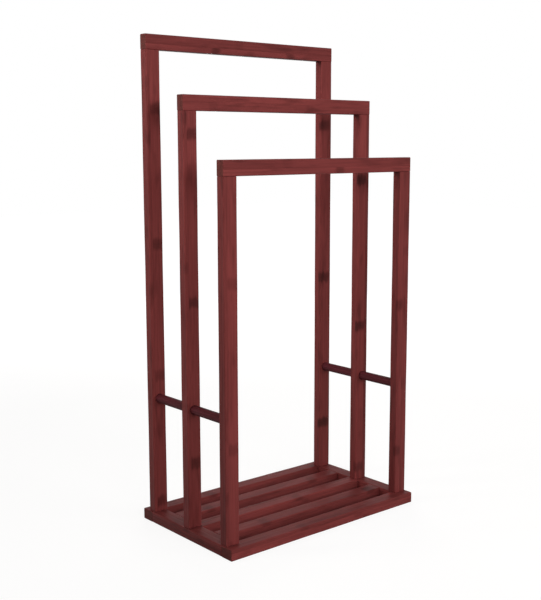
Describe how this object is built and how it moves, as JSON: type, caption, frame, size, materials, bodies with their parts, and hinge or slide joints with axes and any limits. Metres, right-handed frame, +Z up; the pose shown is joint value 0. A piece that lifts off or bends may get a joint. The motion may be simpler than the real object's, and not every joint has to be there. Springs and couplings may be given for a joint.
{
  "type": "towel rack",
  "caption": "Free-standing tiered towel rack: upright frames of rising height on a slatted base, tied at the sides by round spacers.",
  "frame": {"origin": "centre of the base's footprint, on the floor", "axes": "+Z up, +X along the towel rails to the right, +Y from the lowest frame to the tallest, towards the back"},
  "size_m": [0.4, 0.24, 0.792],
  "materials": {
    "stained_bamboo": "laminated bamboo, mahogany stain, satin lacquer",
    "spacer_bamboo": "turned bamboo, dark mahogany stain, satin lacquer",
    "pin_beech": "bare beech, fluted and glued",
    "zinc_steel": "bright zinc plating"
  },
  "bodies": {
    "root": {"back_frame_pins": "pin_beech", "back_left_post": "stained_bamboo", "back_right_post": "stained_bamboo", "back_top_rail": "stained_bamboo", "base_back_rail": "stained_bamboo", "base_back_slat": "stained_bamboo", "base_corner_pins": "pin_beech", "base_front_rail": "stained_bamboo", "base_front_slat": "stained_bamboo", "base_left_end_board": "stained_bamboo", "base_middle_slat": "stained_bamboo", "base_right_end_board": "stained_bamboo", "front_frame_pins": "pin_beech", "front_left_post": "stained_bamboo", "front_right_post": "stained_bamboo", "front_top_rail": "stained_bamboo", "left_front_to_middle_spacer": "spacer_bamboo", "left_middle_to_back_spacer": "spacer_bamboo", "middle_frame_pins": "pin_beech", "middle_left_post": "stained_bamboo", "middle_right_post": "stained_bamboo", "middle_top_rail": "stained_bamboo", "post_screws": "zinc_steel", "right_front_to_middle_spacer": "spacer_bamboo", "right_middle_to_back_spacer": "spacer_bamboo"}
  },
  "joints": []
}
